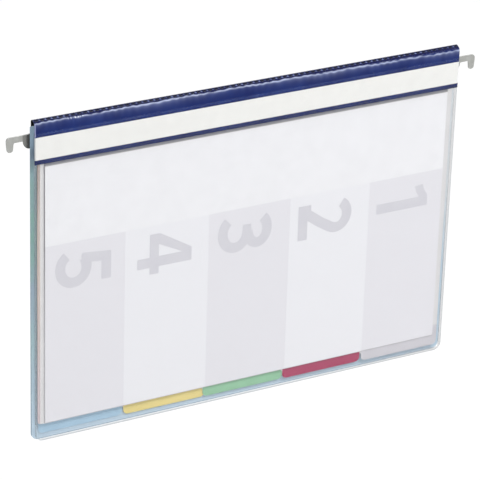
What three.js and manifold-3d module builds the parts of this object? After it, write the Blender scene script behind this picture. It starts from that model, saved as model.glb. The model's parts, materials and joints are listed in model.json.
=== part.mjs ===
// Suspension organizer folder for A4 sheets filed sideways. A clear front cover and a tinted back
// cover hang from two steel hooks, with a title strip, an index sheet and five tabbed dividers
// held on a prong fastener. Millimetres, +Z up. X runs along the spine and the front faces -Y.
// The origin lies midway between the two hook seats, halfway through the hook arms' thickness.

import * as THREE from 'three';
import { mergeVertices } from 'three/addons/utils/BufferGeometryUtils.js';
import Module from 'manifold-3d';

// Index sheet, A4 laid sideways
const sheetWidth = 297;
const sheetHeight = 210;
const sheetThickness = 0.2;

// Dividers: as high as the index sheet, with a tab below it
const dividerCount = 5;
const dividerSideMargin = 3.25; // from a divider's side to the cover's side
const dividerCornerRadius = 2;
const tabHeight = 7.5;
const tabCornerRadius = 3.5;
const tabInnerRadius = 3; // hollow corner beside a tab

// Filing holes
const punchPitch = 80;
const punchDiameter = 6;
const punchFromEdge = 12;

// Covers
const coverSideMargin = 6.75; // from the index sheet's side to the cover's side
const coverTopMargin = 5; // from the crease to the sheets' upper edge
const coverBottomMargin = 3.2; // from the tabs to the cover's lower edge
const coverCornerRadius = 5.5;
const backCoverSpare = 1; // the back cover stands proud at the sides and below
const backCoverDrop = 3; // crease to the back cover's upper edge
const frontFilm = 0.3;
const backFilm = 0.4;

// Coloured film: the spine's arch, the strip on the back and the panel on the front
const wrapFilm = 0.35;
const spineRise = 1.75; // arch above the crease
const ridgeInset = 2.1; // from the back strip's outer face to the arch's ridge
const slopePower = 1.6; // the arch's front slope grows steeper towards the crease
const archFoot = 0.7; // depth of the arch's foot on the crease
const backStripDrop = 27.6; // crease to the back strip's lower edge
const panelDrop = 27.6; // crease to the front panel's lower edge
const weldDrop = 6.1; // crease to the weld that holds the pocket and the front cover

// Title strip in its clear pocket
const titleDrop = 9.1; // crease to the strip's upper edge
const titleHeight = 15.3;
const titlePaper = 0.15;
const titleSideGap = 0.5; // from the strip's end to the cover's side
const pocketFilm = 0.15;

// Hooks: flat steel, with an arm, a turned-down tip and a body that slides in the channel
const hookThickness = 1;
const hookReach = 16.5; // hook end beyond the cover's side, 343.5 over both hooks
const seatBelowCrease = 12.8; // underside of the arm below the crease
const armHeight = 4.1;
const tipWidth = 5;
const tipDrop = 6.1; // tip below the arm's underside
const tipTaper = 0.6; // narrower at the tip's end, on each side
const tipRadius = 1.8;
const armCornerRadius = 2.4;
const notchWidth = 6.6; // room for the rail, between the tip and the shoulder
const notchFillet = 0.8;
const shoulderRadius = 5;
const jogDepth = 0.8; // arm in front of the body
const jogLength = 3.6;
const jogFromShoulder = 2;
const hookTravel = 16.5; // pushed in, the tip is level with the cover's side
const bodyEngagement = 35; // body inboard of its stop rivet
const bodyCornerRadius = 1;

// Hook channel: a flat sleeve on the back, two strips welded to a rail above and a rail below
const channelFrontStrip = 0.7;
const channelRearStrip = 0.6;
const channelRail = 0.8;
const channelMouthGap = 11.75; // from the mouth to the jog when a hook is pushed in
const channelEdgeRadius = 0.25;
const stopInset = 10; // stop rivet from the channel's mouth

// Stop rivets
const rivetDiameter = 3;
const rivetHeadDiameter = 6;
const rivetHeadHeight = 0.8;

// Prong fastener: flat steel strip whose two ends pass through the holes and are folded inwards
const prongWidth = 5;
const prongThickness = 0.25;
const prongTailLength = 28;

// Compressor bar: a rolled channel, open to the front, in which the lock sliders run
const barLength = 150;
const barHeight = 13;
const barWeb = 0.4;
const barFlange = 0.5;
const barLip = 0.3;
const barLipHeight = 1.2;

// Lock sliders
const sliderLength = 16;
const sliderPlate = 0.4;
const sliderGrip = 0.4; // pad that stands between the lips
const sliderInset = 18; // slider's middle inboard of its prong

// Folds of the sheets, below the compressor bar and stepping down towards the back
const foldBelowBar = 6;
const foldStep = 2;

// Clearances
const filmGap = 0.05; // between films welded or pressed together
const sheetGap = 0.15; // between neighbouring sheets
const slideGap = 0.25; // round a part that slides
const runnerGap = 0.1; // through the thickness of the lock sliders and prong tails
const foldGap = 0.3; // slit that stands for a living hinge
const rivetGap = 0.1; // round a rivet in its hole
const prongGap = 0.5; // round a prong in its slot

const arcSteps = 8; // along a quarter circle
const roundSteps = 32; // round a full circle
const samePoint = 0.001;

const wasm = await Module();
wasm.setup();

// Sizes that follow from the ones above
const coverWidth = sheetWidth + 2 * coverSideMargin;
const coverHeight = coverTopMargin + sheetHeight + tabHeight + coverBottomMargin;
const coverSide = coverWidth / 2;
const dividerWidth = coverWidth - 2 * dividerSideMargin;
const tabPitch = dividerWidth / dividerCount;
const creaseZ = seatBelowCrease;
const coverBottomZ = creaseZ - coverHeight;
const sheetTopZ = creaseZ - coverTopMargin;
const sheetBottomZ = sheetTopZ - sheetHeight;
const punchZ = sheetTopZ - punchFromEdge;
const punchX = punchPitch / 2;
const foldTopZ = punchZ - barHeight / 2 - foldBelowBar;

// A flat layer lies in front of the face behind it, with a gap between them
function layer(faceBehind, gap, thickness) {
  const back = faceBehind - gap;
  return { back, front: back - thickness, thickness };
}

// The folder's layers, from the hooks forwards
const backStripLayer = layer(-hookThickness / 2, slideGap, wrapFilm);
const prongBaseLayer = layer(backStripLayer.front, filmGap, prongThickness);
const backCoverLayer = layer(prongBaseLayer.front, filmGap, backFilm);
const sheets = [];
for (let number = dividerCount; number >= 0; number -= 1) {
  const faceBehind = sheets.length ? sheets[sheets.length - 1].layer.front : backCoverLayer.front;
  sheets.push({
    number,
    name: number ? `divider_${number}` : 'index_sheet',
    width: number ? dividerWidth : sheetWidth,
    foldZ: foldTopZ - foldStep * number,
    layer: layer(faceBehind, sheetGap, sheetThickness),
  });
}
const indexLayer = sheets[sheets.length - 1].layer;
const webLayer = layer(indexLayer.front, sheetGap, barWeb);
const tailLayer = layer(webLayer.front, runnerGap, prongThickness);
const sliderLayer = layer(tailLayer.front, runnerGap, sliderPlate);
const lipLayer = layer(sliderLayer.front, runnerGap, barLip);
const gripFront = sliderLayer.front - sliderGrip;
const fastenerFront = Math.min(lipLayer.front, gripFront);
const frontCoverLayer = layer(fastenerFront, slideGap, frontFilm);
const panelLayer = layer(frontCoverLayer.front, filmGap, wrapFilm);
const titleLayer = layer(panelLayer.front, filmGap, titlePaper);
const pocketLayer = layer(titleLayer.front, filmGap, pocketFilm);
const ridgeY = backStripLayer.back - ridgeInset;

// The hooks' places along X, for the hook on the +X side
const hookEndX = coverSide + hookReach;
const tipInnerX = hookEndX - tipWidth;
const shoulderX = tipInnerX - notchWidth;
const jogOuterX = shoulderX - jogFromShoulder;
const jogInnerX = jogOuterX - jogLength;
const channelEndX = jogInnerX - hookTravel - channelMouthGap;
const stopX = channelEndX - stopInset;
const bodyInnerX = stopX - bodyEngagement;
const bodyBottomZ = -(shoulderRadius + notchFillet);
const bodyMiddleZ = (armHeight + bodyBottomZ) / 2;
const bodyFrontY = jogDepth - hookThickness / 2;
const bodyBackY = bodyFrontY + hookThickness;
const channelFrontY = backStripLayer.back + filmGap;
const channelBackY = bodyBackY + slideGap + channelRearStrip;
const drillLength = 4 * (channelBackY - pocketLayer.front); // passes through every layer

// Materials
const looks = {
  clearFilm: { color: 0xeef3f7, roughness: 0.12, metalness: 0, transparent: true, opacity: 0.2 },
  tintedFilm: { color: 0xafc8de, roughness: 0.25, metalness: 0, transparent: true, opacity: 0.85 },
  navyFilm: { color: 0x26387c, roughness: 0.28, metalness: 0 },
  titlePaper: { color: 0xf0f0ec, roughness: 0.7, metalness: 0 },
  indexPaper: { color: 0xe9e9ee, roughness: 0.75, metalness: 0 },
  greyCard: { color: 0xd2d0d4, roughness: 0.6, metalness: 0 },
  redCard: { color: 0xb96280, roughness: 0.6, metalness: 0 },
  greenCard: { color: 0xa8cfae, roughness: 0.6, metalness: 0 },
  yellowCard: { color: 0xe6d79b, roughness: 0.6, metalness: 0 },
  blueCard: { color: 0xafc8de, roughness: 0.6, metalness: 0 },
  hookSteel: { color: 0xacada8, roughness: 0.45, metalness: 0.6 },
  prongSteel: { color: 0xb8bcc0, roughness: 0.3, metalness: 0.9 },
  darkPlastic: { color: 0x33363a, roughness: 0.5, metalness: 0 },
};
const dividerLooks = ['indexPaper', 'greyCard', 'redCard', 'greenCard', 'yellowCard', 'blueCard'];

const folder = new THREE.Group();

function addPiece(name, geometry, lookName) {
  const mesh = new THREE.Mesh(geometry, new THREE.MeshStandardMaterial(looks[lookName]));
  mesh.name = name;
  folder.add(mesh);
}

// A closed outline from its corners, each [first, second, radius], with arcs at the round ones
function roundedShape(corners) {
  const points = [];
  const count = corners.length;
  for (let index = 0; index < count; index += 1) {
    const [first, second, radius] = corners[index];
    const corner = new THREE.Vector2(first, second);
    const before = new THREE.Vector2(...corners[(index + count - 1) % count].slice(0, 2));
    const after = new THREE.Vector2(...corners[(index + 1) % count].slice(0, 2));
    if (radius > 0) {
      points.push(...cornerArc(corner, before, after, radius));
    } else {
      points.push(corner);
    }
  }
  // two arcs that meet share a point, which is kept once
  const previous = (index) => points[(index + points.length - 1) % points.length];
  const outline = points.filter((point, index) => point.distanceTo(previous(index)) > samePoint);
  // an outline mirrored to the other side runs backwards
  return new THREE.Shape(THREE.ShapeUtils.isClockWise(outline) ? outline.reverse() : outline);
}

// Points on the arc that rounds a corner, from the side before it to the side after it
function cornerArc(corner, before, after, radius) {
  const toBefore = before.clone().sub(corner).normalize();
  const toAfter = after.clone().sub(corner).normalize();
  const halfAngle = Math.acos(toBefore.dot(toAfter)) / 2;
  const start = corner.clone().addScaledVector(toBefore, radius / Math.tan(halfAngle));
  const end = corner.clone().addScaledVector(toAfter, radius / Math.tan(halfAngle));
  const inwards = toBefore.clone().add(toAfter).normalize();
  const centre = corner.clone().addScaledVector(inwards, radius / Math.sin(halfAngle));
  const startAngle = start.clone().sub(centre).angle();
  const endAngle = end.clone().sub(centre).angle();
  const turnsRight = toBefore.cross(toAfter) > 0;
  const arc = new THREE.EllipseCurve(
    centre.x,
    centre.y,
    radius,
    radius,
    startAngle,
    endAngle,
    turnsRight,
  );
  return arc.getPoints(arcSteps);
}

function rectangle(left, right, bottom, top, lowerRadius, upperRadius) {
  return [
    [left, bottom, lowerRadius],
    [right, bottom, lowerRadius],
    [right, top, upperRadius],
    [left, top, upperRadius],
  ];
}

function extrude(shape, depth) {
  const settings = { depth, bevelEnabled: false, curveSegments: roundSteps / 2 };
  return new THREE.ExtrudeGeometry(shape, settings);
}

// A flat piece whose outline is drawn in X and Z, in the given layer
function plate(shape, place) {
  return extrude(shape, place.thickness).rotateX(Math.PI / 2).translate(0, place.back, 0);
}

// A straight piece along X whose section is drawn in Y and Z, centred on middleX
function rail(section, length, middleX) {
  const alongX = new THREE.Matrix4().makeBasis(
    new THREE.Vector3(0, 1, 0),
    new THREE.Vector3(0, 0, 1),
    new THREE.Vector3(1, 0, 0),
  );
  return extrude(section, length).applyMatrix4(alongX).translate(middleX - length / 2, 0, 0);
}

// Booleans work on closed solids with shared vertices
function solidFrom(geometry) {
  const bare = geometry.clone();
  bare.deleteAttribute('normal');
  bare.deleteAttribute('uv');
  const merged = mergeVertices(bare);
  return new wasm.Manifold(new wasm.Mesh({
    numProp: 3,
    vertProperties: new Float32Array(merged.attributes.position.array),
    triVerts: new Uint32Array(merged.index.array),
  }));
}

function geometryFrom(solid) {
  const mesh = solid.getMesh();
  const geometry = new THREE.BufferGeometry();
  geometry.setAttribute('position', new THREE.BufferAttribute(mesh.vertProperties, 3));
  geometry.setIndex(new THREE.BufferAttribute(mesh.triVerts, 1));
  geometry.computeVertexNormals();
  return geometry;
}

function cut(geometry, tools) {
  const start = solidFrom(geometry);
  return geometryFrom(tools.reduce((left, tool) => left.subtract(solidFrom(tool)), start));
}

// A drill for a hole along Y, through everything near the X-Z plane
function drill(diameter, x, z) {
  const radius = diameter / 2;
  return new THREE.CylinderGeometry(radius, radius, drillLength, roundSteps).translate(x, 0, z);
}

// A punch for a slot along Y, as long as a drill
function slotPunch(width, height, x, z) {
  return new THREE.BoxGeometry(width, drillLength, height).translate(x, 0, z);
}

// Covers: film with round lower corners; the back one is larger and has a slit for each prong
function coverShape(topZ, spare) {
  const side = coverSide + spare;
  const bottomZ = coverBottomZ - spare;
  return roundedShape(rectangle(-side, side, bottomZ, topZ, coverCornerRadius, 0));
}

function buildBackCover() {
  const cover = plate(coverShape(creaseZ - backCoverDrop, backCoverSpare), backCoverLayer);
  const width = prongThickness + 2 * prongGap;
  const height = prongWidth + 2 * prongGap;
  const slits = [-punchX, punchX].map((x) => slotPunch(width, height, x, punchZ));
  addPiece('back_cover', cut(cover, slits), 'tintedFilm');
}

function buildFrontCover() {
  addPiece('front_cover', plate(coverShape(creaseZ - weldDrop, 0), frontCoverLayer), 'clearFilm');
}

// Points of the spine's arch, from the strip's face behind over the ridge to the foot on the
// crease: a quarter ellipse, then a slope that grows steeper
function archPoints(backY, footY, rise) {
  const points = [];
  for (let step = 0; step <= arcSteps; step += 1) {
    const angle = (step / arcSteps) * (Math.PI / 2);
    const y = ridgeY + (backY - ridgeY) * Math.cos(angle);
    points.push([y, creaseZ + rise * Math.sin(angle), 0]);
  }
  for (let step = 1; step <= arcSteps; step += 1) {
    const share = step / arcSteps;
    const y = ridgeY + (footY - ridgeY) * share;
    points.push([y, creaseZ + rise * (1 - share ** slopePower), 0]);
  }
  return points;
}

// Spine wrap: an arch over the folder's top that runs down the back as a strip
function buildSpineWrap() {
  const bottomZ = creaseZ - backStripDrop;
  const outer = archPoints(backStripLayer.back, panelLayer.front, spineRise);
  const footY = panelLayer.front + archFoot;
  const inner = archPoints(backStripLayer.front, footY, spineRise - wrapFilm);
  const section = [
    [backStripLayer.back, bottomZ, 0],
    ...outer,
    ...inner.reverse(),
    [backStripLayer.front, bottomZ, 0],
  ];
  addPiece('spine_wrap', rail(roundedShape(section), coverWidth, 0), 'navyFilm');
}

// Front panel with the title strip and its pocket
function buildFrontPanel() {
  const panelBottomZ = creaseZ - panelDrop;
  const titleTopZ = creaseZ - titleDrop;
  const titleSide = coverSide - titleSideGap;
  const panel = rectangle(-coverSide, coverSide, panelBottomZ, creaseZ - foldGap, 0, 0);
  const title = rectangle(-titleSide, titleSide, titleTopZ - titleHeight, titleTopZ, 0, 0);
  const pocket = rectangle(-coverSide, coverSide, panelBottomZ, creaseZ - weldDrop, 0, 0);
  addPiece('front_panel', plate(roundedShape(panel), panelLayer), 'navyFilm');
  addPiece('title_strip', plate(roundedShape(title), titleLayer), 'titlePaper');
  addPiece('title_pocket', plate(roundedShape(pocket), pocketLayer), 'clearFilm');
}

// The leaf of a divider has its tab below the index sheet, in line with its own column there
function dividerCorners(number, topZ) {
  const side = dividerWidth / 2;
  const tabBottomZ = sheetBottomZ - tabHeight;
  const isLast = number === dividerCount;
  const isFirst = number === 1;
  const tabLeft = side - number * tabPitch;
  const tabRight = tabLeft + tabPitch;
  const corners = [[-side, topZ, 0]];
  if (!isLast) {
    corners.push([-side, sheetBottomZ, dividerCornerRadius]);
    corners.push([tabLeft, sheetBottomZ, tabInnerRadius]);
  }
  corners.push([tabLeft, tabBottomZ, tabCornerRadius]);
  corners.push([tabRight, tabBottomZ, tabCornerRadius]);
  if (!isFirst) {
    corners.push([tabRight, sheetBottomZ, tabInnerRadius]);
    corners.push([side, sheetBottomZ, dividerCornerRadius]);
  }
  corners.push([side, topZ, 0]);
  return corners;
}

// Each sheet folds along a line below the fastener: a punched margin stays on the prongs, and the
// leaf below it turns
function buildSheet(sheet) {
  const side = sheet.width / 2;
  const lookName = dividerLooks[sheet.number];
  const marginShape = roundedShape(rectangle(-side, side, sheet.foldZ, sheetTopZ, 0, 0));
  const holes = [-punchX, punchX].map((x) => drill(punchDiameter, x, punchZ));
  addPiece(`${sheet.name}_margin`, cut(plate(marginShape, sheet.layer), holes), lookName);
  const leafTopZ = sheet.foldZ - foldGap;
  const corners = sheet.number
    ? dividerCorners(sheet.number, leafTopZ)
    : rectangle(-side, side, sheetBottomZ, leafTopZ, 0, 0);
  addPiece(sheet.name, plate(roundedShape(corners), sheet.layer), lookName);
}

// Prong strip: one flat strip, its base behind the back cover and its ends folded over the bar
function buildProngStrip() {
  const outerX = punchX + prongThickness / 2;
  const innerX = punchX - prongThickness / 2;
  const tailX = punchX - prongTailLength;
  const half = [
    [outerX, prongBaseLayer.back],
    [outerX, tailLayer.front],
    [tailX, tailLayer.front],
    [tailX, tailLayer.back],
    [innerX, tailLayer.back],
    [innerX, prongBaseLayer.front],
  ];
  const mirrored = half.map(([x, y]) => [-x, y]).reverse();
  const outline = [...half, ...mirrored].map(([x, y]) => [x, y, 0]);
  const strip = extrude(roundedShape(outline), prongWidth).translate(0, 0, punchZ - prongWidth / 2);
  addPiece('prong_strip', strip, 'prongSteel');
}

function buildCompressorBar() {
  const half = barHeight / 2;
  const inner = half - barFlange;
  const lipEdge = inner - barLipHeight;
  const upper = [
    [webLayer.back, half],
    [lipLayer.front, half],
    [lipLayer.front, lipEdge],
    [lipLayer.back, lipEdge],
    [lipLayer.back, inner],
    [webLayer.front, inner],
  ];
  const lower = upper.map(([y, z]) => [y, -z]).reverse();
  const section = [...upper, ...lower].map(([y, z]) => [y, punchZ + z, 0]);
  const bar = rail(roundedShape(section), barLength, 0);
  const width = prongThickness + 2 * prongGap;
  const height = prongWidth + 2 * prongGap;
  const slots = [-punchX, punchX].map((x) => slotPunch(width, height, x, punchZ));
  addPiece('compressor_bar', cut(bar, slots), 'prongSteel');
}

// Lock sliders: a plate behind the bar's lips, with a grip pad between them
function buildLockSlider(name, side) {
  const plateHalf = barHeight / 2 - barFlange - slideGap;
  const gripHalf = barHeight / 2 - barFlange - barLipHeight - slideGap;
  const upper = [
    [sliderLayer.back, plateHalf],
    [sliderLayer.front, plateHalf],
    [sliderLayer.front, gripHalf],
    [gripFront, gripHalf],
  ];
  const lower = upper.map(([y, z]) => [y, -z]).reverse();
  const section = [...upper, ...lower].map(([y, z]) => [y, punchZ + z, 0]);
  const middleX = side * (punchX - sliderInset);
  addPiece(name, rail(roundedShape(section), sliderLength, middleX), 'darkPlastic');
}

// Hook: the flat outline cut from a strip with a jog, so that the arm lies in front of the body
function buildHook(name, side) {
  const outline = [
    [bodyInnerX, bodyBottomZ, bodyCornerRadius],
    [shoulderX, bodyBottomZ, shoulderRadius],
    [shoulderX, 0, notchFillet],
    [tipInnerX, 0, notchFillet],
    [tipInnerX + tipTaper, -tipDrop, tipRadius],
    [hookEndX - tipTaper, -tipDrop, tipRadius],
    [hookEndX, 0, 0],
    [hookEndX, armHeight, armCornerRadius],
    [bodyInnerX, armHeight, bodyCornerRadius],
  ];
  const shape = roundedShape(outline.map(([x, z, radius]) => [side * x, z, radius]));
  const slotRadius = rivetDiameter / 2 + slideGap;
  const slot = [
    [stopX - slotRadius, bodyMiddleZ - slotRadius, slotRadius],
    [stopX + hookTravel + slotRadius, bodyMiddleZ - slotRadius, slotRadius],
    [stopX + hookTravel + slotRadius, bodyMiddleZ + slotRadius, slotRadius],
    [stopX - slotRadius, bodyMiddleZ + slotRadius, slotRadius],
  ];
  shape.holes.push(roundedShape(slot.map(([x, z, radius]) => [side * x, z, radius])));

  const armFrontY = -hookThickness / 2;
  const spare = hookThickness;
  const stripCorners = [
    [bodyInnerX - spare, bodyFrontY, 0],
    [jogInnerX, bodyFrontY, 0],
    [jogOuterX, armFrontY, 0],
    [hookEndX + spare, armFrontY, 0],
    [hookEndX + spare, armFrontY + hookThickness, 0],
    [jogOuterX, armFrontY + hookThickness, 0],
    [jogInnerX, bodyBackY, 0],
    [bodyInnerX - spare, bodyBackY, 0],
  ];
  const stripShape = roundedShape(stripCorners.map(([x, y]) => [side * x, y, 0]));
  const lowZ = Math.min(bodyBottomZ, -tipDrop) - spare;
  const strip = extrude(stripShape, armHeight + spare - lowZ).translate(0, 0, lowZ);
  const blank = { back: bodyBackY + spare, thickness: bodyBackY - armFrontY + 2 * spare };
  const hook = solidFrom(plate(shape, blank)).intersect(solidFrom(strip));
  addPiece(name, geometryFrom(hook), 'hookSteel');
}

// Hook channel: two strips drilled for the stop rivets, welded to a rail above and a rail below
function buildHookChannel() {
  const low = bodyBottomZ - slideGap;
  const high = armHeight + slideGap;
  const boreFrontY = channelFrontY + channelFrontStrip;
  const boreBackY = channelBackY - channelRearStrip;
  const bottom = low - channelRail;
  const top = high + channelRail;
  addChannelStrip('channel_front_strip', channelFrontY, boreFrontY, bottom, top);
  addChannelStrip('channel_rear_strip', boreBackY, channelBackY, bottom, top);
  const railFrontY = boreFrontY + filmGap;
  const railBackY = boreBackY - filmGap;
  addPiece('channel_upper_rail', channelBar(railFrontY, railBackY, high, top), 'darkPlastic');
  addPiece('channel_lower_rail', channelBar(railFrontY, railBackY, bottom, low), 'darkPlastic');
}

// A bar as long as the channel, with eased edges
function channelBar(frontY, backY, bottom, top) {
  const radius = channelEdgeRadius;
  const section = roundedShape(rectangle(frontY, backY, bottom, top, radius, radius));
  return rail(section, 2 * channelEndX, 0);
}

function addChannelStrip(name, frontY, backY, bottom, top) {
  const holes = [-stopX, stopX].map((x) => drill(rivetDiameter + 2 * rivetGap, x, bodyMiddleZ));
  addPiece(name, cut(channelBar(frontY, backY, bottom, top), holes), 'darkPlastic');
}

// Stop rivets: a shank through the channel and the hook's slot, with a flat head behind
function buildStopRivet(name, side) {
  const headY = channelBackY + filmGap;
  const profile = [
    [0, channelFrontY + filmGap],
    [rivetDiameter / 2, channelFrontY + filmGap],
    [rivetDiameter / 2, headY],
    [rivetHeadDiameter / 2, headY],
    [rivetHeadDiameter / 2, headY + rivetHeadHeight / 2],
    [rivetDiameter / 2, headY + rivetHeadHeight],
    [0, headY + rivetHeadHeight],
  ].map(([radius, y]) => new THREE.Vector2(radius, y));
  const rivet = new THREE.LatheGeometry(profile, roundSteps);
  addPiece(name, rivet.translate(side * stopX, 0, bodyMiddleZ), 'hookSteel');
}

buildBackCover();
buildSpineWrap();
buildHookChannel();
buildProngStrip();
buildCompressorBar();
for (const sheet of sheets) {
  buildSheet(sheet);
}
for (const [sideName, side] of [['left', -1], ['right', 1]]) {
  buildHook(`hook_${sideName}`, side);
  buildStopRivet(`stop_rivet_${sideName}`, side);
  buildLockSlider(`lock_slider_${sideName}`, side);
}
buildFrontPanel();
buildFrontCover();

export default folder;
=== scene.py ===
"""Looks for the suspension organizer folder: films, sheets, printed digits and steel round the
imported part. Sizes are in metres. X runs along the spine, the front faces -Y and Z is up."""

import json
import math

import bpy
import numpy as np
from mathutils import Matrix, Vector
from mathutils.geometry import delaunay_2d_cdt

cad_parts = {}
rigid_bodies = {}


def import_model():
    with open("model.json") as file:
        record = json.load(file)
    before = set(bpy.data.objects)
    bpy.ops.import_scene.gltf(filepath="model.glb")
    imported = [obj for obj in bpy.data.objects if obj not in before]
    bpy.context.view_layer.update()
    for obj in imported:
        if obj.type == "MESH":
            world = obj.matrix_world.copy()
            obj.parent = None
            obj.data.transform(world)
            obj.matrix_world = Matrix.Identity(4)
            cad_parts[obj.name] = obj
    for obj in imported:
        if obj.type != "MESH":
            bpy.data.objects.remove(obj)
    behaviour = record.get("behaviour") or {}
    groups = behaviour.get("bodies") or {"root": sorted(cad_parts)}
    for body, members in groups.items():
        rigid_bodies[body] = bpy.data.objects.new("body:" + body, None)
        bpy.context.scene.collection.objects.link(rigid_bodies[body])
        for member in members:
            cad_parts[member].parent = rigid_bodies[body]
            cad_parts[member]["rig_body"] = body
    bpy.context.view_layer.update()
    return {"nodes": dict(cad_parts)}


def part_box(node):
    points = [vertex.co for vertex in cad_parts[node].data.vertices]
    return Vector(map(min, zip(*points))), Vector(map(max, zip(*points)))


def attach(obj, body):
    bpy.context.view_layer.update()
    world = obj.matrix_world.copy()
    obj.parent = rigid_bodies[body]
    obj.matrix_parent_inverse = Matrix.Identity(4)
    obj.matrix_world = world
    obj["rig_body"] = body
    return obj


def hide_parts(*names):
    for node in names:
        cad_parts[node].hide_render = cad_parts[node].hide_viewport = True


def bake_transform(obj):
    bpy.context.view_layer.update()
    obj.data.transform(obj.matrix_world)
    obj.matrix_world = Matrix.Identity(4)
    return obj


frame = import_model()
nodes = frame["nodes"]

MM = 0.001

# Where the folder's parts lie, read from the CAD
COVER_LEFT, COVER_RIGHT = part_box("front_cover")[0].x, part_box("front_cover")[1].x
PANEL_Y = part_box("front_panel")[0].y
BACK_STRIP_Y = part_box("spine_wrap")[1].y
FILM_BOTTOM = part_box("spine_wrap")[0].z
ARCH_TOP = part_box("spine_wrap")[1].z
SHEET_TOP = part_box("index_sheet_margin")[1].z
SHEET_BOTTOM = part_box("index_sheet")[0].z
TAB_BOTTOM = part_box("divider_1")[0].z
DIVIDER_LEFT, DIVIDER_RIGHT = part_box("divider_1")[0].x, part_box("divider_1")[1].x
TITLE_RIGHT, TITLE_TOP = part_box("title_strip")[1].x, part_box("title_strip")[1].z
TITLE_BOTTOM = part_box("title_strip")[0].z

# Sizes that the CAD's boxes don't give
CREASE_Z = 12.8 * MM
RIDGE_INSET = 2.1 * MM
SLOPE_POWER = 1.6
FILM = 0.35 * MM
PUNCH_X = 40 * MM
PUNCH_Z = -4.2 * MM
PUNCH_RADIUS = 3 * MM
DIVIDER_COUNT = 5
TAB_PITCH = (DIVIDER_RIGHT - DIVIDER_LEFT) / DIVIDER_COUNT
COVER_HEIGHT = CREASE_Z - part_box("front_cover")[0].z

# How far the index sheet and each divider lie to the right of the folder's middle: they are loose
# on the prongs
SHEET_SHIFT = [1.0 * MM, 1.1 * MM, 0.1 * MM, 0.0 * MM, 1.7 * MM, 0.7 * MM]


# ---- Camera

CAMERA_AZIMUTH = math.radians(28.851)
CAMERA_HEIGHT = math.radians(25.555)
CAMERA_ROLL = math.radians(1.801)
FOCAL_PIXELS = 2890.93
PICTURE = 480
SENSOR = 36
AIM = np.array([0, -6.70, -101.2]) * MM
AIM_PIXEL = (249.72, 245.29)
DISTANCE = 1.90867


def place_camera():
    """Puts the camera where the aim point falls on its pixel, DISTANCE ahead of the lens."""
    a, e, r = CAMERA_AZIMUTH, CAMERA_HEIGHT, CAMERA_ROLL
    ahead = np.array([math.sin(a) * math.cos(e), math.cos(a) * math.cos(e), -math.sin(e)])
    level = np.array([math.cos(a), -math.sin(a), 0])
    upright = np.cross(level, ahead)
    right = math.cos(r) * level + math.sin(r) * upright
    up = -math.sin(r) * level + math.cos(r) * upright
    across = (AIM_PIXEL[0] - PICTURE / 2) / FOCAL_PIXELS * DISTANCE
    down = (AIM_PIXEL[1] - PICTURE / 2) / FOCAL_PIXELS * DISTANCE
    place = AIM - (across * right - down * up + DISTANCE * ahead)
    data = bpy.data.cameras.new("camera")
    data.sensor_width = SENSOR
    data.lens = FOCAL_PIXELS * SENSOR / PICTURE
    data.clip_end = 20
    camera = bpy.data.objects.new("camera", data)
    bpy.context.scene.collection.objects.link(camera)
    turn = Matrix([right, up, -ahead]).transposed()
    camera.matrix_world = Matrix.Translation(Vector(place)) @ turn.to_4x4()
    bpy.context.scene.camera = camera


# ---- Materials

def plain(name, colour, roughness, **settings):
    """A new material with one Principled shader; settings are its sockets' constants."""
    material = bpy.data.materials.new(name)
    material.use_nodes = True
    shader = material.node_tree.nodes["Principled BSDF"]
    shader.inputs["Base Color"].default_value = (*linear(colour), 1)
    shader.inputs["Roughness"].default_value = roughness
    for socket, value in settings.items():
        shader.inputs[socket.replace("_", " ")].default_value = value
    return material


def linear(colour):
    """Screen values from 0 to 255 turned into linear light."""
    share = np.array(colour) / 255
    return tuple(np.where(share <= 0.04045, share / 12.92, ((share + 0.055) / 1.055) ** 2.4))


# Places of the sockets of a Mix node that mixes colours
MIX_SHARE, MIX_FIRST, MIX_SECOND, MIX_RESULT = 0, 6, 7, 2


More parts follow.
